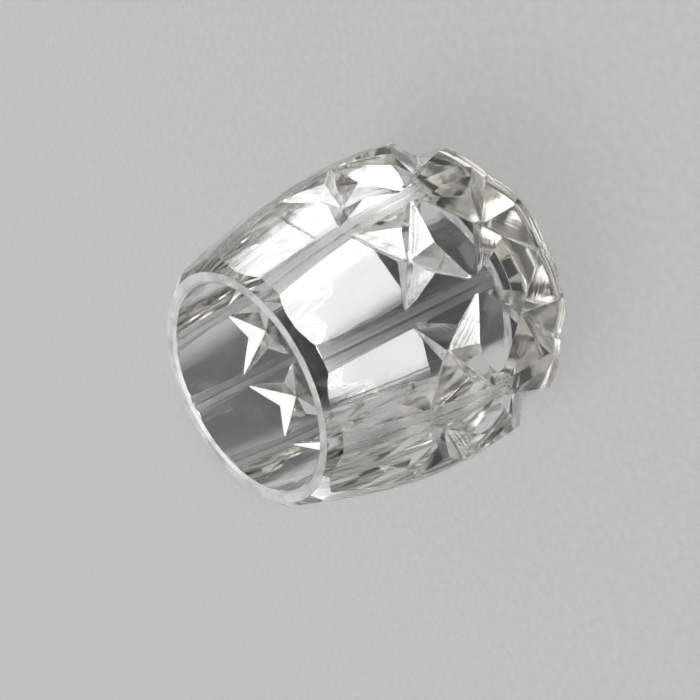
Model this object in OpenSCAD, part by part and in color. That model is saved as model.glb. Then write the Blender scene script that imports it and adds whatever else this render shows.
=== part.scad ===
/* [Body] */
// Height from the base to the lip
height = 51; // [46:0.5:58]
// Outside radius at the lip, before the lip is bevelled
mouth_r = 19.8; // [18.6:0.1:22]
// Outside radius at the widest level
belly_r = 28.2; // [26.5:0.1:31]
// Height of the widest level
belly_z = 13; // [10:0.5:16]
// Radius of the flat base
base_r = 18.8; // [16:0.1:20]

/* [Inside] */
// Inside radius at the lip
bore_r = 17; // [15:0.1:17.8]
// Inside radius at the widest level of the inside
cavity_r = 19.4; // [18:0.1:21]
// Height of the widest level of the inside
cavity_z = 24; // [20:0.5:28]
// Thickness of the floor
floor_t = 9; // [6:0.5:14]
// Radius of the rounded corner between the floor and the inside wall
cavity_round = 8; // [4:0.5:11]

/* [Lip] */
// Width and depth of the bevel outside the lip
lip_bevel = 0.9; // [0.3:0.1:1.4]
// Width and depth of the bevel inside the lip
bore_bevel = 0.5; // [0.2:0.1:0.8]

/* [Panels] */
// Number of panels around the body, each with a star on its lower half
panel_n = 10; // [9:1:11]
// Width of the round band between two panels at the lip
lip_band_w = 4.4; // [3.2:0.1:5.4]
// Width of the round band between two panels at the widest level
belly_band_w = 2.8; // [2.2:0.1:4]

/* [Stars] */
// Height of the two upper tips of a star
star_top_z = 36.4; // [33:0.2:39]
// Distance that the tips of a star run past the edge of the panel into the band
star_tip_run = 0.5; // [0.2:0.05:0.7]
// Height of the two side tips of a star
star_side_z = 23.8; // [22:0.2:26]
// Height of the glass left between the upper and the lower cuts at a side tip
star_side_gap = 0.8; // [0.4:0.1:1.6]
// Distance inside the widest radius at which the lower cuts of a star reach the level of the base
star_low_inset = 4.3; // [3.6:0.1:5]
// Distance past the middle of the band at which the lower cuts of a star reach the level of the base
star_overrun = 2.5; // [1.5:0.1:3.5]
// Depth of the upper cuts where they cross
upper_depth = 3.7; // [2.4:0.1:4.2]
// Distance that the upper cuts cross below the straight line between their tips
upper_drop = 1.5; // [0:0.1:2]
// Depth of the lower cuts where they cross
lower_depth = 3.6; // [2.6:0.1:4.2]
// Angle between the two faces of a cut where it is deepest
cut_angle = 104; // [90:1:120]

/* [Hidden] */
$fn = 96;
// Allowance by which a cutter passes the face that it cuts through
pass = 1;
// How many times its own length a cut is drawn, to clear the curve of the side
reach = 5;
panel_step = 360 / panel_n;
// One panel faces the front
first_panel = -90;
// The heel and the inside's corner round off all the way from the flat to the side
heel_r = belly_r - base_r;
cavity_floor_r = cavity_r - cavity_round;

// Radius of the arc that is upright at its widest level and then draws in by a step over a rise
function arc_r(step, rise) = (step * step + rise * rise) / (2 * step);

// Distance of that arc from its widest radius at a height above or below the widest level
function arc_drop(r, rise) = r - sqrt(r * r - rise * rise);

side_arc_r = arc_r(belly_r - mouth_r, height - belly_z);
cavity_arc_r = arc_r(cavity_r - bore_r, height - cavity_z);

// Outside radius of the round body at a height above the heel
function side_r(z) = belly_r - arc_drop(side_arc_r, z - belly_z);

// Distance of a panel from the axis at a height where the band beside it has a width
function banded_r(z, band_w) = side_r(z) * cos(panel_step / 2 - asin(band_w / 2 / side_r(z)));

// The panels are flat across and follow one arc from the widest level to the lip
belly_panel_r = banded_r(belly_z, belly_band_w);
panel_arc_r = arc_r(belly_panel_r - banded_r(height, lip_band_w), height - belly_z);

// Distance of a panel from the axis at a height
function panel_r(z) = belly_panel_r - arc_drop(panel_arc_r, z - belly_z);

// Angle from a panel's middle to a star's tip on the round side at a height
function tip_angle(z) = acos(panel_r(z) / side_r(z)) + asin(star_tip_run / side_r(z));

// Point at a distance from the axis, an angle from the panel's middle and a height
function point_at(r, angle, z) = [r * cos(angle), r * sin(angle), z];

// Tip of a star on the round side at a height
function side_tip(z) = point_at(side_r(z), tip_angle(z), z);

// End of a lower cut beyond the middle of the band, at the level of the base
star_low_r = belly_r - star_low_inset;
low_end = point_at(star_low_r, panel_step / 2 + asin(star_overrun / star_low_r), 0);

// Half outline of a round barrel that narrows from its widest level to its top and rounds into its foot
module barrel(wide_r, wide_z, arc, foot_r, foot_round, bottom, top) {
    intersection() {
        translate([wide_r - arc, wide_z]) circle(r = arc);
        union() {
            translate([0, bottom + foot_round]) square([wide_r + pass, top - bottom - foot_round]);
            translate([0, bottom]) square([foot_r, foot_round + pass]);
            intersection() {
                translate([foot_r, bottom + foot_round]) circle(r = foot_round);
                translate([foot_r, bottom]) square([foot_round + pass, foot_round + pass]);
            }
        }
    }
}

// Ring that takes the corner off the outside of the lip
module lip_bevel_cut() {
    rotate_extrude()
        polygon([[mouth_r - lip_bevel, height],
                 [mouth_r + pass, height - lip_bevel - pass],
                 [mouth_r + pass, height + pass],
                 [mouth_r - lip_bevel, height + pass]]);
}

// Round inside, with the bevel at the lip
module cavity() {
    rotate_extrude()
        barrel(cavity_r, cavity_z, cavity_arc_r, cavity_floor_r, cavity_round, floor_t, height + pass);
    translate([0, 0, height - bore_bevel])
        cylinder(r1 = bore_r, r2 = bore_r + bore_bevel + pass, h = bore_bevel + pass);
}

// Block whose inner face is one panel, flat across and curved along the side
module panel_cut() {
    half_w = belly_r * sin(panel_step / 2);
    difference() {
        translate([0, -half_w, -pass])
            cube([belly_r + pass, 2 * half_w, height + 2 * pass]);
        translate([belly_panel_r - panel_arc_r, 0, belly_z])
            rotate([90, 0, 0])
                cylinder(r = panel_arc_r, h = 2 * half_w + 2 * pass, center = true, $fn = 360);
    }
}

// Cut that is deepest at a point and tapers to nothing at its two ends
module mitre_cut(deepest, depth, from, to) {
    along = (to - from) / norm(to - from);
    level = [1, 0, 0] - along * along.x;
    outward = level / norm(level);
    across = cross(outward, along) * depth * tan(cut_angle / 2);
    rise = outward * depth;
    spread = [from - deepest, rise + across, to - deepest, rise - across];
    polyhedron(
        points = concat([deepest], [for (way = spread) deepest + reach * way]),
        faces = [[0, 2, 1], [0, 3, 2], [0, 4, 3], [0, 1, 4], [1, 2, 4], [2, 3, 4]]);
}

// Two equal cuts that cross in the middle of a panel
module crossed_cuts(upper, lower, depth, drop) {
    crossing_z = lower.z + (upper.z - lower.z) * lower.y / (lower.y + upper.y) - drop;
    deepest = [side_r(crossing_z) - depth, 0, crossing_z];
    mitre_cut(deepest, depth, [upper.x, -upper.y, upper.z], lower);
    mitre_cut(deepest, depth, upper, [lower.x, -lower.y, lower.z]);
}

// The four cuts of one star, two crossing above its side tips and two below
module star_cuts() {
    crossed_cuts(side_tip(star_top_z), side_tip(star_side_z + star_side_gap / 2), upper_depth, upper_drop);
    crossed_cuts(side_tip(star_side_z - star_side_gap / 2), low_end, lower_depth, 0);
}

// Turned and hollowed glass with its panels
module blank() {
    difference() {
        rotate_extrude()
            barrel(belly_r, belly_z, side_arc_r, base_r, heel_r, 0, height);
        lip_bevel_cut();
        cavity();
        for (panel = [0 : panel_n - 1])
            rotate([0, 0, first_panel + panel * panel_step]) panel_cut();
    }
}

// The blank after a number of stars has been cut, one after another
module cut_glass(stars) {
    if (stars == 0)
        blank();
    else
        difference() {
            cut_glass(stars - 1);
            rotate([0, 0, first_panel + stars * panel_step]) star_cuts();
        }
}

// Tumbler of clear glass with panels down its side and a belt of cut stars
module glass_holder() {
    color("gainsboro") cut_glass(panel_n);
}

glass_holder();
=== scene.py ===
"""Looks of a cut-glass toothpick holder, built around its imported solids."""
import logging
import math
from dataclasses import dataclass, field
from enum import IntEnum

import bmesh
import bpy
import numpy as np
from mathutils import Matrix, Vector


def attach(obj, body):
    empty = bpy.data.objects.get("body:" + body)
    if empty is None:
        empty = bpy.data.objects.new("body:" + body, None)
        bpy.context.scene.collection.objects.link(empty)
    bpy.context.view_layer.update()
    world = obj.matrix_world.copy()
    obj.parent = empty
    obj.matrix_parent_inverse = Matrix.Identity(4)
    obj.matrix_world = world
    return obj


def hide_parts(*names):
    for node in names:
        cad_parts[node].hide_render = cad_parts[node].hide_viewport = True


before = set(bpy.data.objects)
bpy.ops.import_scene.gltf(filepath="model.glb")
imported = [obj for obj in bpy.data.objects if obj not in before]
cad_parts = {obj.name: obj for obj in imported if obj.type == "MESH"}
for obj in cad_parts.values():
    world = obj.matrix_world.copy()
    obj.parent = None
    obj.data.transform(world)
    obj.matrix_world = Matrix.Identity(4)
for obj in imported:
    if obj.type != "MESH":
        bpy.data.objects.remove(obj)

LOG = logging.getLogger("toothpick_holder")
MM = 0.001
HALVINGS = 40
NEWTON_STEPS = 6
FAR_APART = 10**6
FLAT = 1e-9
BODY_PATCH, LIP_PATCH, BORE_BEVEL_PATCH, INSIDE_PATCH = 0, 20, 21, 22
PATCHES_PER_SECTOR = 100


class Face(IntEnum):
    """What a face of the glass is, as the finish reads it."""

    BAND = 0
    PANEL = 1
    CUT = 2
    LIP = 3
    INSIDE = 4
    BASE = 5
    BEVEL = 6


def unit(vector: np.ndarray) -> np.ndarray:
    """Scales each row of an array of vectors to length one."""
    return vector / np.linalg.norm(vector, axis=-1, keepdims=True)


@dataclass
class Skin:
    """Polygons of one stretch of surface.

    Args:
        points: corner points in millimetres, one row each.
        corners: point numbers of the corners, polygon after polygon.
        counts: number of corners of each polygon.
        facet: number of the smooth patch that each polygon belongs to.
        kind: Face of each polygon.
        grain: direction across the wheel marks of each polygon, or zero.
    """

    points: np.ndarray
    corners: np.ndarray
    counts: np.ndarray
    facet: np.ndarray
    kind: np.ndarray
    grain: np.ndarray


def joined(skins: list[Skin]) -> Skin:
    """Puts several skins into one, with the corner numbers counted on.

    Args:
        skins: the stretches of surface.

    Returns:
        One skin that holds them all.
    """
    starts = np.cumsum([0] + [len(s.points) for s in skins])
    return Skin(
        np.concatenate([s.points for s in skins]),
        np.concatenate([s.corners + start for s, start in zip(skins, starts)]),
        np.concatenate([s.counts for s in skins]),
        np.concatenate([s.facet for s in skins]),
        np.concatenate([s.kind for s in skins]),
        np.concatenate([s.grain for s in skins]),
    )


@dataclass
class CutTumbler:
    """Barrel of clear glass with panels down its side and a belt of cut stars, in millimetres."""

    height: float = 51.0
    mouth_r: float = 19.8
    belly_r: float = 28.2
    belly_z: float = 13.0
    base_r: float = 18.8
    bore_r: float = 17.0
    cavity_r: float = 19.4
    cavity_z: float = 24.0
    floor_t: float = 9.0
    cavity_round: float = 8.0
    lip_bevel: float = 0.9
    bore_bevel: float = 0.5
    panels: int = 10
    lip_band_w: float = 4.4
    belly_band_w: float = 2.8
    star_top_z: float = 36.4
    star_tip_run: float = 0.5
    star_side_z: float = 23.8
    star_side_gap: float = 0.8
    star_low_inset: float = 4.3
    star_overrun: float = 2.5
    upper_depth: float = 3.7
    upper_drop: float = 1.5
    lower_depth: float = 3.6
    cut_angle: float = 104.0
    columns: int = 36
    heel_rows: int = 30
    side_rows: int = 96
    lip_rows: int = 9
    lip_zone: float = 1.3
    lip_rings: int = 4
    bevel_rings: int = 3
    wall_rows: int = 40
    corner_rows: int = 16
    floor_rings: int = 7
    base_rings: int = 9
    weld: float = 0.003
    step: float = field(init=False)
    heel_r: float = field(init=False)
    side_arc: float = field(init=False)
    bore_arc: float = field(init=False)
    panel_wide: float = field(init=False)
    panel_bend: float = field(init=False)
    planes: np.ndarray = field(init=False)
    offsets: np.ndarray = field(init=False)
    grains: np.ndarray = field(init=False)

    def __post_init__(self) -> None:
        """Works out the planes of the panels and stars round one sector."""
        self.step = 2 * math.pi / self.panels
        self.heel_r = self.belly_r - self.base_r
        self.side_arc = self.arc(self.belly_r - self.mouth_r, self.height - self.belly_z)
        self.bore_arc = self.arc(self.cavity_r - self.bore_r, self.height - self.cavity_z)
        self.panel_arc()
        self.star_planes()

    @staticmethod
    def arc(inset: float, rise: float) -> float:
        """Radius of an arc that is upright at its widest level and draws in by inset over rise."""
        return (inset * inset + rise * rise) / (2 * inset)

    def side_r(self, z: np.ndarray) -> np.ndarray:
        """Radius of the side's long arc: widest radius less the arc's drop at that height."""
        return self.belly_r - self.side_arc + np.sqrt(self.side_arc**2 - (z - self.belly_z) ** 2)

    def body_r(self, z: np.ndarray) -> np.ndarray:
        """Radius of the turned body: the side's arc, or the heel's quarter circle where that is less."""
        below = np.clip(self.heel_r - z, 0, self.heel_r)
        heel = self.base_r + np.sqrt(self.heel_r**2 - below**2)
        return np.minimum(self.side_r(z), heel)

    def bevel_r(self, z: np.ndarray) -> np.ndarray:
        """Radius of the cone that bevels the lip: one millimetre wider for each millimetre down."""
        return self.mouth_r - self.lip_bevel + self.height - z

    def banded_r(self, z: float, band_w: float) -> float:
        """Distance of a panel from the axis where the band beside it is band_w wide."""
        r = float(self.side_r(z))
        return r * math.cos(self.step / 2 - math.asin(band_w / 2 / r))

    def panel_arc(self) -> None:
        """Sets the arc that the panels follow, from the edges of the bands at the lip to those at the belly."""
        self.panel_wide = self.banded_r(self.belly_z, self.belly_band_w)
        inset = self.panel_wide - self.banded_r(self.height, self.lip_band_w)
        self.panel_bend = self.arc(inset, self.height - self.belly_z)

    def panel_away(self, z: np.ndarray) -> np.ndarray:
        """Distance of a panel from the axis: its widest distance less its arc's drop at that height."""
        return self.panel_wide - self.panel_bend + np.sqrt(self.panel_bend**2 - (z - self.belly_z) ** 2)

    def panel_r(self, angle: np.ndarray, z: np.ndarray, turn: float) -> np.ndarray:
        """Radius at which a level ray meets a panel: its distance over the cosine of the angle."""
        return self.panel_away(z) / np.cos(angle - turn)

    def side_tip(self, z: float) -> np.ndarray:
        """Tip of a star on the round side, a little past the edge of the panel into the band."""
        r = float(self.side_r(z))
        angle = math.acos(float(self.panel_away(z)) / r) + math.asin(self.star_tip_run / r)
        return np.array([r * math.cos(angle), r * math.sin(angle), z])

    def low_end(self) -> np.ndarray:
        """End of a lower cut at the level of the base, past the middle of the band."""
        r = self.belly_r - self.star_low_inset
        angle = self.step / 2 + math.asin(self.star_overrun / r)
        return np.array([r * math.cos(angle), r * math.sin(angle), 0.0])

    def crossed(self, upper: np.ndarray, lower: np.ndarray, depth: float, drop: float) -> list[np.ndarray]:
        """Works out the two cuts that cross in the middle of a panel.

        Each cut is a four-sided pyramid whose point lies deepest at the crossing. Its side planes hold the
        point, one of the two tips and one of the two shoulders where the cut leaves the side.

        Args:
            upper: upper end of the cut that runs down to the left.
            lower: lower end of the cut that runs down to the right.
            depth: depth of the cuts where they cross.
            drop: distance that they cross below the straight line between their ends.

        Returns:
            One array for each cut: the pyramid's point and its four edge directions.
        """
        crossing_z = lower[2] + (upper[2] - lower[2]) * lower[1] / (lower[1] + upper[1]) - drop
        deepest = np.array([float(self.side_r(crossing_z)) - depth, 0, crossing_z])
        cuts = []
        for side in (-1, 1):
            start, end = upper * (1, side, 1), lower * (1, -side, 1)
            along = unit(end - start)
            outward = unit(np.array([1.0, 0, 0]) - along * along[0])
            across = np.cross(outward, along) * depth * math.tan(math.radians(self.cut_angle) / 2)
            rise = outward * depth
            cuts.append(np.array([deepest, start - deepest, rise + across, end - deepest, rise - across]))
        return cuts

    def star_planes(self) -> None:
        """Sets the side planes of every cut that reaches into one sector.

        A plane's normal is the cross product of two neighbouring edges of its pyramid. The wheel marks run
        along the cut, so the grain lies in the plane, square to the edge that ends in a tip.
        """
        gap = self.star_side_gap / 2
        above, below = self.side_tip(self.star_side_z + gap), self.side_tip(self.star_side_z - gap)
        star = self.crossed(self.side_tip(self.star_top_z), above, self.upper_depth, self.upper_drop)
        star += self.crossed(below, self.low_end(), self.lower_depth, 0.0)
        planes, offsets, grains = [], [], []
        for turn in (-1, 0, 1):
            c, s = math.cos(turn * self.step), math.sin(turn * self.step)
            spin = np.array([[c, -s, 0], [s, c, 0], [0, 0, 1]])
            for cut in star:
                point, edges = spin @ cut[0], cut[1:] @ spin.T
                normals = unit(np.cross(edges, np.roll(edges, -1, axis=0)))
                normals *= np.sign(normals @ edges.sum(axis=0))[:, None]
                tips = edges[[0, 2, 2, 0]]
                planes.append(normals)
                offsets.append(normals @ point)
                grains.append(unit(np.cross(normals, tips)))
        self.planes, self.offsets, self.grains = np.array(planes), np.array(offsets), np.array(grains)

    def surface_r(self, label: np.ndarray, angle: np.ndarray, z: np.ndarray) -> np.ndarray:
        """Radius at which a level ray from the axis meets a numbered surface.

        Number 0 is the turned body, 1 the lip's bevel, 2 to 4 the panels and the rest the planes of the
        cuts, where the radius is the plane's offset less its share of the height, over the normal's part
        along the ray.

        Args:
            label: number of the surface for each ray.
            angle: angle of each ray from the panel's middle.
            z: height of each ray.

        Returns:
            The radius for each ray.
        """
        at = np.maximum(label - 5, 0)
        normal, offset = self.planes.reshape(-1, 3)[at], self.offsets.ravel()[at]
        slope = normal[..., 0] * np.cos(angle) + normal[..., 1] * np.sin(angle)
        slope = np.where(np.abs(slope) < FLAT, FLAT, slope)
        plane = (offset - normal[..., 2] * z) / slope
        turned = np.where(label == 0, self.body_r(z), self.bevel_r(z))
        panel = self.panel_r(angle, z, (label - 3) * self.step)
        return np.where(label < 2, turned, np.where(label < 5, panel, plane))

    def outermost(self, angle: np.ndarray, z: np.ndarray) -> tuple[np.ndarray, np.ndarray]:
        """Finds where a level ray from the axis leaves the cut glass.

        Within one cut the ray enters at the largest radius of the planes that face inwards, and the glass
        ends at the smallest radius of all the cuts, panels, bevel and body.

        Args:
            angle: angle of each ray from the panel's middle.
            z: height of each ray.

        Returns:
            The radius for each ray, and the number of the surface that ends it.
        """
        ray = np.stack([np.cos(angle), np.sin(angle)], axis=-1)
        slope = np.einsum("...k,pqk->...pq", ray, self.planes[:, :, :2])
        level = self.offsets - self.planes[:, :, 2] * z[..., None, None]
        reach = level / np.where(np.abs(slope) < FLAT, FLAT, slope)
        entry = np.where(slope > 0, reach, -np.inf)
        leave = np.where(slope < 0, reach, np.inf).min(axis=-1)
        cut = entry.max(axis=-1)
        cut = np.where(cut < leave, cut, np.inf)
        which = cut.argmin(axis=-1)
        cut_r = cut.min(axis=-1)
        plane = np.take_along_axis(entry.argmax(axis=-1), which[..., None], axis=-1)[..., 0]
        panels = [self.panel_r(angle, z, turn * self.step) for turn in (-1, 0, 1)]
        radii = np.stack([self.body_r(z), self.bevel_r(z), *panels, cut_r])
        labels = np.stack([np.full(z.shape, n) for n in (0, 1, 2, 3, 4)] + [5 + 4 * which + plane])
        best = radii.argmin(axis=0)[None]
        return np.take_along_axis(radii, best, 0)[0], np.take_along_axis(labels, best, 0)[0]

    def rows(self) -> np.ndarray:
        """Heights of the rows of the side: even steps round the heel, then up the side to the lip."""
        turn = np.linspace(0, 0.5 * math.pi, self.heel_rows)[:-1]
        heel = self.heel_r * (1 - np.cos(turn))
        lip_from = self.height - self.lip_zone
        side = np.linspace(self.heel_r, lip_from, self.side_rows)[:-1]
        lip = np.linspace(lip_from, self.height, self.lip_rows)
        return np.concatenate([heel, side, lip])

    @staticmethod
    def neighbours(values: np.ndarray, axis: int) -> np.ndarray:
        """Puts each grid value and the next one along an axis side by side on a new last axis."""
        return np.stack([np.delete(values, -1, axis), np.delete(values, 0, axis)], axis=-1)

    def crossing(self, label: np.ndarray, angle: np.ndarray, z: np.ndarray) -> np.ndarray:
        """Finds where two surfaces meet on the line between two grid points, by halving.

        Args:
            label: numbers of the surfaces at the two ends, on the last axis.
            angle: angles of the two ends.
            z: heights of the two ends.

        Returns:
            Angle and height of the meeting point, on the last axis.
        """
        low, high = np.zeros(label.shape[:-1]), np.ones(label.shape[:-1])

        def gap(t: np.ndarray) -> np.ndarray:
            """Distance between the two surfaces at a share of the way along each line."""
            a = angle[..., 0] + t * (angle[..., 1] - angle[..., 0])
            h = z[..., 0] + t * (z[..., 1] - z[..., 0])
            return self.surface_r(label[..., 0], a, h) - self.surface_r(label[..., 1], a, h)

        first = gap(low)
        meets = first * gap(high) <= 0
        for _ in range(HALVINGS):
            middle = (low + high) / 2
            same = gap(middle) * first > 0
            low, high = np.where(same, middle, low), np.where(same, high, middle)
        t = np.where(meets, (low + high) / 2, 0.5)
        across = angle[..., 0] + t * (angle[..., 1] - angle[..., 0])
        return np.stack([across, z[..., 0] + t * (z[..., 1] - z[..., 0])], axis=-1)

    def junction(self, labels: np.ndarray, start: np.ndarray, low: np.ndarray, high: np.ndarray) -> np.ndarray:
        """Finds the point of a grid cell where three surfaces meet, by Newton's steps from the middle.

        Args:
            labels: numbers of the three surfaces of each cell.
            start: first guess of angle and height.
            low: lower corner of each cell.
            high: upper corner of each cell.

        Returns:
            Angle and height for each cell, or the first guess where the steps leave the cell.
        """
        def gaps(at: np.ndarray) -> np.ndarray:
            """Distances from the first surface to the other two."""
            r = [self.surface_r(labels[:, k], at[:, 0], at[:, 1]) for k in range(3)]
            return np.stack([r[0] - r[1], r[0] - r[2]], axis=-1)

        nudge = np.array([1e-5, 1e-4])
        at = start.copy()
        for _ in range(NEWTON_STEPS):
            value = gaps(at)
            slope = np.stack(
                [(gaps(at + nudge * np.eye(2)[k]) - value) / nudge[k] for k in range(2)], axis=-1
            )
            flat = np.abs(np.linalg.det(slope)) < FLAT
            slope[flat] = np.eye(2)
            move = np.linalg.solve(slope, value[..., None])[..., 0]
            at = np.where(flat[:, None], at, at - move)
        inside = np.all((at >= low) & (at <= high), axis=-1) & np.all(np.isfinite(at), axis=-1)
        return np.where(inside[:, None], at, start)

    def cut_side(self) -> Skin:
        """Meshes one sector of the side on a grid of angle and height, split exactly along the cut edges.

        Every grid point carries the number of the surface that ends the glass there. Where two
        neighbours differ, the point where their surfaces meet goes into the mesh, so each polygon lies on one
        surface and each edge of a cut is an edge of the mesh.

        Returns:
            The skin of the sector whose panel faces along the first axis.
        """
        heights = self.rows()
        angles = np.linspace(-self.step / 2, self.step / 2, self.columns + 1)
        z, a = np.meshgrid(heights, angles, indexing="ij")
        label = self.outermost(a, z)[1]
        grid = np.stack([a, z], axis=-1)
        rows, cols = z.shape
        flat_meet = self.crossing(*(self.neighbours(x, 1) for x in (label, a, z)))
        tall_meet = self.crossing(*(self.neighbours(x, 0) for x in (label, a, z)))
        corner = np.stack([label[:-1, :-1], label[:-1, 1:], label[1:, 1:], label[1:, :-1]], axis=-1)
        changes = corner != np.roll(corner, -1, axis=-1)
        meets = np.stack(
            [flat_meet[:-1], tall_meet[:, 1:], flat_meet[1:], tall_meet[:, :-1]], axis=-2
        )
        count = changes.sum(axis=-1)
        middle = np.where(changes[..., None], meets, 0).sum(axis=-2) / np.maximum(count, 1)[..., None]
        busy = count >= 3
        order = np.argsort(~changes, axis=-1, kind="stable")[busy][:, :3]
        three = np.take_along_axis(corner[busy], order, axis=-1)
        middle[busy] = self.junction(three, middle[busy], grid[:-1, :-1][busy], grid[1:, 1:][busy])
        at = np.concatenate([x.reshape(-1, 2) for x in (grid, flat_meet, tall_meet, middle)])
        number = np.arange(rows * cols).reshape(rows, cols)
        flat_no = rows * cols + np.arange(rows * (cols - 1)).reshape(rows, cols - 1)
        tall_no = flat_no[-1, -1] + 1 + np.arange((rows - 1) * cols).reshape(rows - 1, cols)
        mid_no = tall_no[-1, -1] + 1 + np.arange((rows - 1) * (cols - 1)).reshape(rows - 1, cols - 1)
        corner_no = np.stack([number[:-1, :-1], number[:-1, 1:], number[1:, 1:], number[1:, :-1]], axis=-1)
        meet_no = np.stack([flat_no[:-1], tall_no[:, 1:], flat_no[1:], tall_no[:, :-1]], axis=-1)
        corners, counts, marks = self.split_cells(changes, corner, corner_no, meet_no, mid_no)
        radius = self.outermost(at[:, 0], at[:, 1])[0]
        points = np.stack([radius * np.cos(at[:, 0]), radius * np.sin(at[:, 0]), at[:, 1]], axis=-1)
        used, back = np.unique(corners, return_inverse=True)
        return self.marked(points[used], back.ravel(), counts, marks)

    @staticmethod
    def split_cells(
        changes: np.ndarray, corner: np.ndarray, corner_no: np.ndarray, meet_no: np.ndarray, mid_no: np.ndarray
    ) -> tuple[np.ndarray, np.ndarray, np.ndarray]:
        """Splits every grid cell into one polygon for each surface in it.

        Args:
            changes: for each cell, whether the surface changes along each of its four sides.
            corner: numbers of the surfaces at the four corners.
            corner_no: point numbers of the four corners.
            meet_no: point numbers of the meeting points on the four sides.
            mid_no: point number of the cell's middle.

        Returns:
            The corners of the polygons one after another, their number for each polygon, and the number
            of the surface that each polygon lies on.
        """
        code = (changes * np.array([1, 2, 4, 8])).sum(axis=-1)
        rings, marks = [], []
        for pattern in np.unique(code):
            here = code == pattern
            own, met, mid, tags = corner_no[here], meet_no[here], mid_no[here], corner[here]
            sides = [k for k in range(4) if pattern >> k & 1]
            if not sides:
                rings.append(own)
                marks.append(tags[:, 0])
            for k, side in enumerate(sides):
                far = sides[(k + 1) % len(sides)]
                run = [(side + 1 + n) % 4 for n in range((far - side - 1) % 4 + 1)]
                ring = [met[:, side]] + [own[:, c] for c in run] + [met[:, far]]
                if len(sides) > 2:
                    ring.append(mid)
                rings.append(np.stack(ring, axis=-1))
                marks.append(tags[:, run[0]])
        counts = np.concatenate([np.full(len(ring), ring.shape[1]) for ring in rings])
        return np.concatenate([ring.ravel() for ring in rings]), counts, np.concatenate(marks)

    def marked(self, points: np.ndarray, corners: np.ndarray, counts: np.ndarray, marks: np.ndarray) -> Skin:
        """Turns numbers of surfaces into kinds of face, smooth patches and grain.

        The grain of a panel is level and square to its middle, and that of a band is square to the middle of
        the band.

        Args:
            points: corner points of the sector.
            corners: point numbers of the corners, polygon after polygon.
            counts: number of corners of each polygon.
            marks: number of the surface that each polygon lies on.

        Returns:
            The skin of the sector.
        """
        kind = np.full(len(marks), Face.CUT)
        kind[marks == 0] = Face.BAND
        kind[marks == 1] = Face.BEVEL
        kind[(marks >= 2) & (marks <= 4)] = Face.PANEL
        grain = np.where((marks >= 5)[:, None], self.grains.reshape(-1, 3)[np.maximum(marks - 5, 0)], 0)
        grain[kind == Face.PANEL] = (0, 1, 0)
        side = np.sign(np.add.reduceat(points[corners, 1], np.cumsum(counts) - counts))
        half = self.step / 2
        band = np.stack([-side * math.sin(half), np.full(len(side), math.cos(half)), 0 * side], axis=-1)
        grain[kind == Face.BAND] = band[kind == Face.BAND]
        return Skin(points, corners, counts, marks, kind, grain)

    def ring_of_sectors(self, sector: Skin) -> Skin:
        """Repeats one sector round the axis, with a panel facing the front.

        Args:
            sector: skin of one sector.

        Returns:
            The skin of the whole side.
        """
        copies = []
        for n in range(self.panels):
            turn = n * self.step - math.pi / 2
            c, s = math.cos(turn), math.sin(turn)
            spin = np.array([[c, -s, 0], [s, c, 0], [0, 0, 1]])
            facet = np.where(sector.facet < 2, sector.facet, sector.facet + PATCHES_PER_SECTOR * (n + 1))
            points, grain = sector.points @ spin.T, sector.grain @ spin.T
            copies.append(Skin(points, sector.corners, sector.counts, facet, sector.kind, grain))
        return joined(copies)

    def turned(self, profile: np.ndarray, facet: int, kind: Face) -> Skin:
        """Carries a profile of radius and height round the axis, as rows of four-sided faces.

        Args:
            profile: rows of radius and height, so ordered that the faces point out of the glass.
            facet: number of the smooth patch.
            kind: Face of the whole patch.

        Returns:
            The skin of the turned patch.
        """
        count = self.columns * self.panels
        turn = np.arange(count) * 2 * math.pi / count - math.pi / 2 - self.step / 2
        ring = np.stack([np.cos(turn), np.sin(turn)], axis=-1)
        flat = profile[:, None, :1] * ring[None]
        tall = np.broadcast_to(profile[:, None, 1:], (len(profile), count, 1))
        points = np.concatenate([flat, tall], axis=-1).reshape(-1, 3)
        number = np.arange(len(points)).reshape(len(profile), count)
        after = np.roll(number, -1, axis=1)
        faces = np.stack([number[:-1], after[:-1], after[1:], number[1:]], axis=-1).reshape(-1, 4)
        size = len(faces)
        return Skin(points, faces.ravel(), np.full(size, 4), np.full(size, facet), np.full(size, kind),
                    np.zeros((size, 3)))

    def lip_and_inside(self) -> list[Skin]:
        """Turns the flat lip, its inner bevel, the inside wall with its rounded corner, and the floor."""
        mouth_r = self.bore_r + self.bore_bevel
        lip_r = np.linspace(self.mouth_r - self.lip_bevel, mouth_r, self.lip_rings)
        lip = np.stack([lip_r, np.full(self.lip_rings, self.height)], axis=-1)
        wall_z = np.linspace(self.height - self.bore_bevel, self.floor_t + self.cavity_round, self.wall_rows)
        wall_r = self.cavity_r - self.bore_arc + np.sqrt(self.bore_arc**2 - (wall_z - self.cavity_z) ** 2)
        share = np.linspace(0, 1, self.bevel_rings)
        bevel_r = mouth_r + (wall_r[0] - self.bore_r - self.bore_bevel) * share
        bevel = np.stack([bevel_r, self.height - self.bore_bevel * share], axis=-1)
        turn = np.linspace(0, math.pi / 2, self.corner_rows)[1:]
        corner_r = self.cavity_r - self.cavity_round * (1 - np.cos(turn))
        corner_z = self.floor_t + self.cavity_round * (1 - np.sin(turn))
        corner_r = np.minimum(corner_r, wall_r[-1])
        floor_r = np.linspace(corner_r[-1], 0, self.floor_rings)[1:]
        inside = np.concatenate([
            np.stack([wall_r, wall_z], axis=-1),
            np.stack([corner_r, corner_z], axis=-1),
            np.stack([floor_r, np.full(len(floor_r), self.floor_t)], axis=-1),
        ])
        return [
            self.turned(lip, LIP_PATCH, Face.LIP),
            self.turned(bevel, BORE_BEVEL_PATCH, Face.LIP),
            self.turned(inside, INSIDE_PATCH, Face.INSIDE),
        ]

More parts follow.
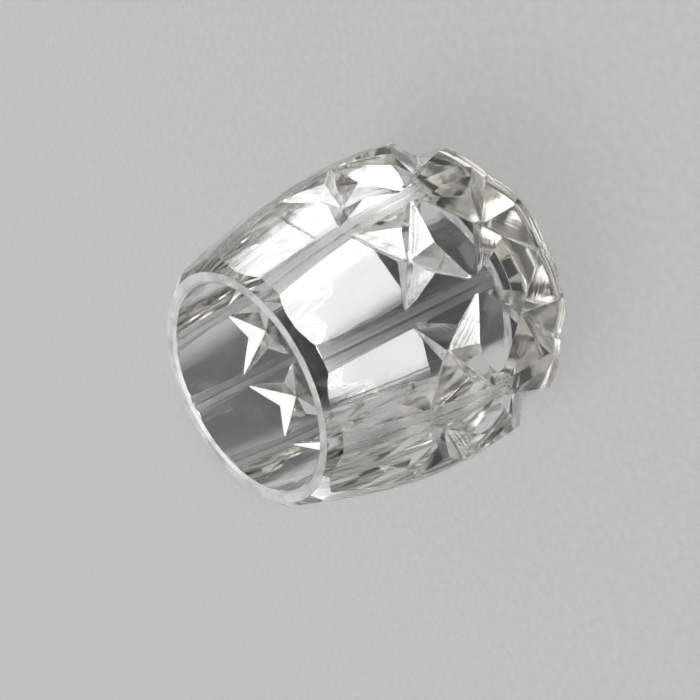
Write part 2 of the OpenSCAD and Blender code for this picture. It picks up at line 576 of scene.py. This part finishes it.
    def base(self) -> Skin:
        """Turns the flat base from its middle to the heel, in the same smooth patch as the heel."""
        r = np.linspace(0, self.base_r, self.base_rings)
        return self.turned(np.stack([r, np.zeros(self.base_rings)], axis=-1), BODY_PATCH, Face.BASE)

    def build(self, name: str) -> bpy.types.Object:
        """Makes the mesh of the whole tumbler, in metres.

        Args:
            name: name of the piece.

        Returns:
            The new object, at the origin.
        """
        skin = joined([self.ring_of_sectors(self.cut_side()), *self.lip_and_inside(), self.base()])
        mesh = bpy.data.meshes.new(name)
        mesh.vertices.add(len(skin.points))
        mesh.vertices.foreach_set("co", (skin.points * MM).astype(np.float32).ravel())
        mesh.loops.add(len(skin.corners))
        mesh.loops.foreach_set("vertex_index", skin.corners.astype(np.int32))
        mesh.polygons.add(len(skin.counts))
        mesh.polygons.foreach_set("loop_start", (np.cumsum(skin.counts) - skin.counts).astype(np.int32))
        mesh.update(calc_edges=True)
        for title, values in (("facet", skin.facet), ("kind", skin.kind)):
            mesh.attributes.new(title, "INT", "FACE").data.foreach_set("value", values.astype(np.int32))
        grain = mesh.attributes.new("grain", "FLOAT_VECTOR", "FACE")
        grain.data.foreach_set("vector", skin.grain.astype(np.float32).ravel())
        self.close_seams(mesh)
        self.mark_edges(mesh)
        piece = bpy.data.objects.new(name, mesh)
        bpy.context.scene.collection.objects.link(piece)
        return piece

    def close_seams(self, mesh: bpy.types.Mesh) -> None:
        """Joins the points where sectors, rows and poles meet."""
        work = bmesh.new()
        work.from_mesh(mesh)
        bmesh.ops.remove_doubles(work, verts=work.verts, dist=self.weld * MM)
        bmesh.ops.dissolve_degenerate(work, edges=work.edges, dist=1e-7)
        work.to_mesh(mesh)
        work.free()

    @staticmethod
    def mark_edges(mesh: bpy.types.Mesh) -> None:
        """Shades every patch smooth and keeps the edges between two patches sharp."""
        loops, polygons = len(mesh.loops), len(mesh.polygons)
        edge, total, facet = np.zeros(loops, int), np.zeros(polygons, int), np.zeros(polygons, int)
        mesh.loops.foreach_get("edge_index", edge)
        mesh.polygons.foreach_get("loop_total", total)
        mesh.attributes["facet"].data.foreach_get("value", facet)
        owner = np.repeat(facet, total)
        low, high = np.full(len(mesh.edges), FAR_APART), np.full(len(mesh.edges), -1)
        np.minimum.at(low, edge, owner)
        np.maximum.at(high, edge, owner)
        mesh.polygons.foreach_set("use_smooth", np.ones(polygons, bool))
        sharp = mesh.attributes.new("sharp_edge", "BOOLEAN", "EDGE")
        sharp.data.foreach_set("value", low != high)
        mesh.attributes.remove(mesh.attributes["facet"])


class Sock:
    """Output of a node, with sums written as Python expressions."""

    def __init__(self, board: "Board", socket: bpy.types.NodeSocket) -> None:
        """Keeps the socket and the board that new nodes go on."""
        self.board = board
        self.socket = socket

    def sum(self, operation: str, *values: "Sock | float") -> "Sock":
        """Adds one Math node for an operation on values."""
        return self.board.add("ShaderNodeMath", {"operation": operation}, dict(enumerate(values)))

    def __add__(self, other: "Sock | float") -> "Sock":
        """Sum of two values."""
        return self.sum("ADD", self, other)

    __radd__ = __add__

    def __mul__(self, other: "Sock | float") -> "Sock":
        """Product of two values."""
        return self.sum("MULTIPLY", self, other)

    __rmul__ = __mul__

    def __sub__(self, other: "Sock | float") -> "Sock":
        """Difference of two values."""
        return self.sum("SUBTRACT", self, other)

    def __rsub__(self, other: float) -> "Sock":
        """Difference of a number and a value."""
        return self.sum("SUBTRACT", other, self)

    def near(self, target: float, width: float) -> "Sock":
        """One where the value lies within width of a target, and zero elsewhere."""
        return self.sum("COMPARE", self, target, width)

    def band(self, low: float, high: float) -> "Sock":
        """Zero below low, one above high and a smooth rise between."""
        return self.board.add(
            "ShaderNodeMapRange",
            {"interpolation_type": "SMOOTHSTEP"},
            {"Value": self, "From Min": low, "From Max": high},
        )


class Board:
    """Node tree of one finish."""

    def __init__(self, tree: bpy.types.NodeTree) -> None:
        """Clears the tree for new nodes."""
        self.tree = tree
        tree.nodes.clear()

    def add(
        self, kind: str, settings: dict | None = None, values: dict | None = None, out: int | str = 0
    ) -> Sock:
        """Adds one node.

        Args:
            kind: Blender's type of the node.
            settings: attributes of the node, which are set first.
            values: number or name of an input, with its value or the output that feeds it.
            out: number or name of the output to return.

        Returns:
            The wanted output, or the first one.
        """
        node = self.tree.nodes.new(kind)
        for name, setting in (settings or {}).items():
            setattr(node, name, setting)
        for name, value in (values or {}).items():
            if isinstance(value, Sock):
                self.tree.links.new(value.socket, node.inputs[name])
            else:
                node.inputs[name].default_value = value
        return Sock(self, node.outputs[out] if len(node.outputs) else None)

    def mix(self, factor: Sock, first: "Sock | tuple", second: "Sock | tuple") -> Sock:
        """Blends two colours by a factor."""
        return self.add("ShaderNodeMix", {"data_type": "RGBA"}, {0: factor, 6: first, 7: second}, out=2)

    def noise(self, where: Sock, scale: float, detail: float = 2.0, rough: float = 0.5) -> Sock:
        """Noise from zero to one over a place."""
        return self.add(
            "ShaderNodeTexNoise", {}, {"Vector": where, "Scale": scale, "Detail": detail, "Roughness": rough}
        )

    def line_noise(self, along: Sock, scale: float, detail: float = 2.0) -> Sock:
        """Noise from zero to one along one value."""
        return self.add(
            "ShaderNodeTexNoise",
            {"noise_dimensions": "1D"},
            {"W": along, "Scale": scale, "Detail": detail, "Roughness": 0.6},
        )


@dataclass(frozen=True)
class ClearGlass:
    """Clear old table glass: hand-polished cuts, satin bands, a ground lip and a faint warm cast.

    Scales count waves to a metre, satin_from and satin_to are heights in metres between which the bands turn
    from clear to satin, and the last five fields are heights of relief in millimetres.
    """

    name: str = "clear_cut_glass"
    bright: tuple[float, float, float, float] = (0.992, 0.992, 0.988, 1)
    dull: tuple[float, float, float, float] = (0.962, 0.962, 0.948, 1)
    cast: tuple[float, float, float, float] = (0.87, 0.86, 0.80, 1)
    cast_density: float = 18.0
    index: float = 1.53
    edge_round: float = 0.00018
    mark_scale: float = 1900.0
    patch_scale: float = 260.0
    swirl_scale: float = 210.0
    grit_scale: float = 5200.0
    speck_scale: float = 900.0
    satin_from: float = 0.016
    satin_to: float = 0.024
    cut_marks: float = 0.032
    panel_marks: float = 0.006
    band_marks: float = 0.012
    lip_grit: float = 0.004
    inside_swirls: float = 0.05

    def material(self) -> bpy.types.Material:
        """Makes the material.

        Returns:
            Refracting glass whose wheel marks follow the grain of each cut.
        """
        material = bpy.data.materials.new(self.name)
        material.use_nodes = True
        board = Board(material.node_tree)
        place = board.add("ShaderNodeTexCoord", out="Object")
        kind = board.add("ShaderNodeAttribute", {"attribute_name": "kind"}, out="Fac")
        grain = board.add("ShaderNodeAttribute", {"attribute_name": "grain"}, out="Vector")
        across = board.add(
            "ShaderNodeVectorMath", {"operation": "DOT_PRODUCT"}, {0: place, 1: grain}, out="Value"
        )
        cut, lip = kind.near(Face.CUT, 0.5), kind.near(Face.LIP, 0.5)
        panel, base = kind.near(Face.PANEL, 0.5), kind.near(Face.BASE, 0.5)
        inside = kind.near(Face.INSIDE, 0.5)
        level = board.add("ShaderNodeSeparateXYZ", {}, {0: place}, out="Z")
        satin = kind.near(Face.BAND, 0.5) * level.band(self.satin_from, self.satin_to)

        marks = board.line_noise(across, self.mark_scale, 3.0)
        patches = board.noise(place, self.patch_scale, 3.0)
        swirls = board.noise(place, self.swirl_scale, 1.0)
        grit = board.noise(place, self.grit_scale, 2.0)
        specks = board.noise(place, self.speck_scale, 2.0).band(0.71, 0.76)
        film = patches.band(0.45, 0.75)

        shade = film * 0.45 + specks * 0.5 + lip * 0.35
        colour = board.mix(shade, self.bright, self.dull)
        rough = cut * (marks.band(0.42, 0.7) * 0.07 + 0.01) + lip * (grit * 0.1 + 0.06) + panel * 0.006
        rough = rough + base * (patches * 0.06 + 0.02) + film * 0.01 + specks * 0.12 + inside * 0.008
        rough = rough + satin * (marks.band(0.3, 0.75) * 0.32 + patches * 0.1 + 0.13)

        height = cut * marks * self.cut_marks + panel * marks * self.panel_marks
        height = height + satin * marks * self.band_marks + lip * grit * self.lip_grit
        height = height + inside * swirls * self.inside_swirls
        soft_edge = board.add("ShaderNodeBevel", {"samples": 4}, {"Radius": self.edge_round})
        bump = board.add(
            "ShaderNodeBump", {}, {"Strength": 1.0, "Distance": MM, "Height": height, "Normal": soft_edge}
        )
        glass = board.add(
            "ShaderNodeBsdfPrincipled",
            {},
            {"Base Color": colour, "Roughness": rough, "IOR": self.index, "Transmission Weight": 1.0,
             "Normal": bump},
        )
        ground = board.add("ShaderNodeBsdfPrincipled", {}, {"Base Color": colour, "Roughness": rough + 0.5})
        frost = lip * (patches.band(0.3, 0.7) * 0.25 + grit * 0.25 + 0.2)
        surface = board.add("ShaderNodeMixShader", {}, {0: frost, 1: glass, 2: ground})
        depth = board.add(
            "ShaderNodeVolumeAbsorption", {}, {"Color": self.cast, "Density": self.cast_density}
        )
        board.add("ShaderNodeOutputMaterial", {}, {"Surface": surface, "Volume": depth})
        return material


@dataclass(frozen=True)
class PaleTable:
    """Plain pale table top, matt, with a faint tooth."""

    name: str = "pale_table"
    light: tuple[float, float, float, float] = (0.60, 0.60, 0.59, 1)
    dark: tuple[float, float, float, float] = (0.565, 0.565, 0.56, 1)
    tooth_scale: float = 700.0
    rough: float = 0.85

    def material(self) -> bpy.types.Material:
        """Makes the material."""
        material = bpy.data.materials.new(self.name)
        material.use_nodes = True
        board = Board(material.node_tree)
        place = board.add("ShaderNodeTexCoord", out="Object")
        tooth = board.noise(place, self.tooth_scale, 3.0)
        colour = board.mix(tooth.band(0.3, 0.7), self.dark, self.light)
        surface = board.add(
            "ShaderNodeBsdfPrincipled",
            {},
            {"Base Color": colour, "Roughness": self.rough, "Specular IOR Level": 0.0},
        )
        board.add("ShaderNodeOutputMaterial", {}, {"Surface": surface})
        return material


def sheet(name: str, points: np.ndarray) -> bpy.types.Object:
    """Makes an object of a grid of points, with the grid's shares from 0 to 1 as the attribute place.

    Args:
        name: name of the object.
        points: rows and columns of points in metres.

    Returns:
        The new object, at the origin.
    """
    rows, columns = points.shape[:2]
    v, u = np.meshgrid(np.linspace(0, 1, rows), np.linspace(0, 1, columns), indexing="ij")
    number = np.arange(rows * columns).reshape(rows, columns)
    faces = np.stack([number[:-1, :-1], number[:-1, 1:], number[1:, 1:], number[1:, :-1]], axis=-1)
    mesh = bpy.data.meshes.new(name)
    mesh.from_pydata(points.reshape(-1, 3).tolist(), [], faces.reshape(-1, 4).tolist())
    place = mesh.attributes.new("place", "FLOAT_VECTOR", "POINT")
    place.data.foreach_set("vector", np.stack([u, v, v], axis=-1).astype(np.float32).ravel())
    piece = bpy.data.objects.new(name, mesh)
    bpy.context.scene.collection.objects.link(piece)
    return piece


@dataclass(frozen=True)
class Softbox:
    """Lit white cloth beside the holder that is seen only in the glass. Lengths in metres.

    Args:
        name: name of the softbox.
        left: place of one lower corner on the table.
        right: place of the other lower corner.
        rise: step from a lower corner to the upper one.
        strength: brightness of the middle.
        fade: share of the rise over which the cloth dims towards its upper edge.
        through: whether it is seen through the glass as well as in its reflections.
        side_fade: share of the width over which it dims towards each side.
        lift: height of its foot above the base of the holder.
    """

    name: str
    left: tuple[float, float]
    right: tuple[float, float]
    rise: tuple[float, float, float]
    strength: float
    fade: float = 0.1
    through: bool = False
    side_fade: float = 0.05
    lift: float = 0.0006

    def material(self) -> bpy.types.Material:
        """Makes the material."""
        material = bpy.data.materials.new(self.name)
        material.use_nodes = True
        board = Board(material.node_tree)
        place = board.add("ShaderNodeAttribute", {"attribute_name": "place"}, out="Vector")
        across = board.add("ShaderNodeSeparateXYZ", {}, {0: place}, out="X")
        along = board.add("ShaderNodeSeparateXYZ", {}, {0: place}, out="Y")
        sides = across.band(0.0, self.side_fade) * (1 - across).band(0.0, self.side_fade)
        colour = board.mix(sides * (1 - along).band(0.0, self.fade), (0, 0, 0, 1), (1, 1, 1, 1))
        glow = board.add("ShaderNodeEmission", {}, {"Color": colour, "Strength": self.strength})
        board.add("ShaderNodeOutputMaterial", {}, {"Surface": glow})
        return material

    def build(self) -> bpy.types.Object:
        """Sets the cloth up: a lower corner, plus a share of the foot, plus a share of the rise.

        Returns:
            The softbox.
        """
        low, high = np.array([*self.left, self.lift]), np.array([*self.right, self.lift])
        share = np.linspace(0, 1, 9)
        v, u = np.meshgrid(share, share, indexing="ij")
        card = sheet(self.name, low + u[..., None] * (high - low) + v[..., None] * np.array(self.rise))
        card.data.materials.append(self.material())
        card.visible_camera = card.visible_diffuse = card.visible_shadow = False
        card.visible_transmission = self.through
        return card


UPRIGHT = (0.0, 0.0, 0.13)
SOFTBOXES = (
    Softbox("softbox_top", (0.120, -0.078), (0.138, -0.031), UPRIGHT, 9.5),
    Softbox("softbox_top_foot", (0.036, -0.070), (0.036, -0.0165), (0.100, -0.014, 0.0), 9.0),
    Softbox("softbox_front", (0.0187, -0.1405), (0.080, -0.121), UPRIGHT, 17.0),
    Softbox("softbox_side", (-0.113, -0.083), (-0.072, -0.121), UPRIGHT, 16.0),
    Softbox("softbox_back", (0.130, 0.140), (0.060, 0.180), UPRIGHT, 6.0),
    Softbox("softbox_far", (-0.110, 0.170), (-0.160, 0.110), UPRIGHT, 6.0),
    Softbox("softbox_low", (0.110, 0.105), (-0.055, 0.150), (0.0, 0.0, 0.1), 1.1, fade=0.9, through=True),
)


@dataclass(frozen=True)
class Sun:
    """Light that falls evenly from one side, as that of a large soft lamp far away does.

    Args:
        name: name of the light.
        azimuth: direction of the light from the axis, in degrees.
        elevation: height of the light above the horizon, in degrees.
        spread: width of the light as seen from the holder, in degrees.
        strength: strength in watts on a square metre.
        shadow: whether the holder throws a shadow in it.
    """

    name: str
    azimuth: float
    elevation: float
    spread: float
    strength: float
    shadow: bool = True

    def build(self) -> bpy.types.Object:
        """Hangs the lamp: it looks back along the direction of azimuth and elevation.

        Returns:
            The lamp.
        """
        a, e = math.radians(self.azimuth), math.radians(self.elevation)
        out = Vector((math.cos(a) * math.cos(e), math.sin(a) * math.cos(e), math.sin(e)))
        light = bpy.data.lights.new(self.name, "SUN")
        light.angle, light.energy = math.radians(self.spread), self.strength
        light.use_shadow = self.shadow
        lamp = bpy.data.objects.new(self.name, light)
        lamp.rotation_mode = "QUATERNION"
        lamp.rotation_quaternion = (-out).to_track_quat("-Z", "Y")
        bpy.context.scene.collection.objects.link(lamp)
        return lamp


SUNS = (Sun("key", -102, 31, 14, 4.1), Sun("fill", 100, 65, 30, 0.45, shadow=False))


@dataclass
class Studio:
    """Table, softboxes, soft lights, surroundings and camera. Lengths in metres."""

    table_half: float = 15.0
    table_z: float = -0.00005
    horizon: tuple[float, float, float, float] = (0.48, 0.48, 0.475, 1)
    ceiling: tuple[float, float, float, float] = (0.03, 0.03, 0.031, 1)
    camera_at: tuple[float, float, float] = (-0.0305, -0.1155, 0.1195)
    camera_forward: tuple[float, float, float] = (0.190, 0.774, -0.604)
    camera_up: tuple[float, float, float] = (0.797, -0.4805, -0.3655)
    lens: float = 46.3
    sensor: float = 36.0
    clip: tuple[float, float] = (0.005, 20.0)
    bounces: int = 24
    glossy_bounces: int = 12

    def table(self) -> bpy.types.Object:
        """Lays the table top, a level square grid, at the level of the holder's base.

        Returns:
            The table.
        """
        side = np.linspace(-self.table_half, self.table_half, 9)
        y, x = np.meshgrid(side, side, indexing="ij")
        table = sheet("table", np.stack([x, y, np.full(x.shape, self.table_z)], axis=-1))
        table.data.materials.append(PaleTable().material())
        return table

    def surroundings(self) -> None:
        """Gives the room a pale horizon under a dim ceiling."""
        world = bpy.data.worlds.new("room")
        bpy.context.scene.world = world
        world.use_nodes = True
        board = Board(world.node_tree)
        way = board.add("ShaderNodeTexCoord", out="Generated")
        height = board.add("ShaderNodeSeparateXYZ", {}, {0: way}, out="Z")
        colour = board.mix(height.band(0.26, 0.6), self.horizon, self.ceiling)
        sky = board.add("ShaderNodeBackground", {}, {"Color": colour, "Strength": 1.0})
        board.add("ShaderNodeOutputWorld", {}, {"Surface": sky})

    def camera(self) -> None:
        """Sets the camera at the photograph's viewing angle."""
        forward, up = Vector(self.camera_forward).normalized(), Vector(self.camera_up)
        right = forward.cross(up).normalized()
        up = right.cross(forward)
        turn = Matrix((right, up, -forward)).transposed().to_4x4()
        data = bpy.data.cameras.new("camera")
        data.lens, data.sensor_width = self.lens, self.sensor
        data.clip_start, data.clip_end = self.clip
        camera = bpy.data.objects.new("camera", data)
        camera.matrix_world = Matrix.Translation(Vector(self.camera_at)) @ turn
        bpy.context.scene.collection.objects.link(camera)
        bpy.context.scene.camera = camera

    def build(self) -> None:
        """Puts the whole studio in place."""
        self.table()
        for light in SOFTBOXES + SUNS:
            light.build()
            LOG.info("%s: strength %.2f", light.name, light.strength)
        self.surroundings()
        self.camera()
        scene = bpy.context.scene
        scene.view_settings.view_transform = "Standard"
        scene.cycles.max_bounces = self.bounces
        scene.cycles.transmission_bounces = self.bounces
        scene.cycles.glossy_bounces = self.glossy_bounces
        scene.cycles.caustics_refractive = False
        scene.cycles.caustics_reflective = False


def main() -> None:
    """Builds the holder and its studio, and reports each piece."""
    logging.basicConfig(level=logging.INFO, format="%(message)s")
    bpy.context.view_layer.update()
    Studio().build()
    tumbler = CutTumbler()
    piece = tumbler.build("cut_glass_tumbler")
    piece.data.materials.append(ClearGlass().material())
    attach(piece, "root")
    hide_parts("glass_holder")
    triangles = len(piece.data.loops) - 2 * len(piece.data.polygons)
    LOG.info("%s: %d triangles", piece.name, triangles)


if __name__ == "__main__":
    main()
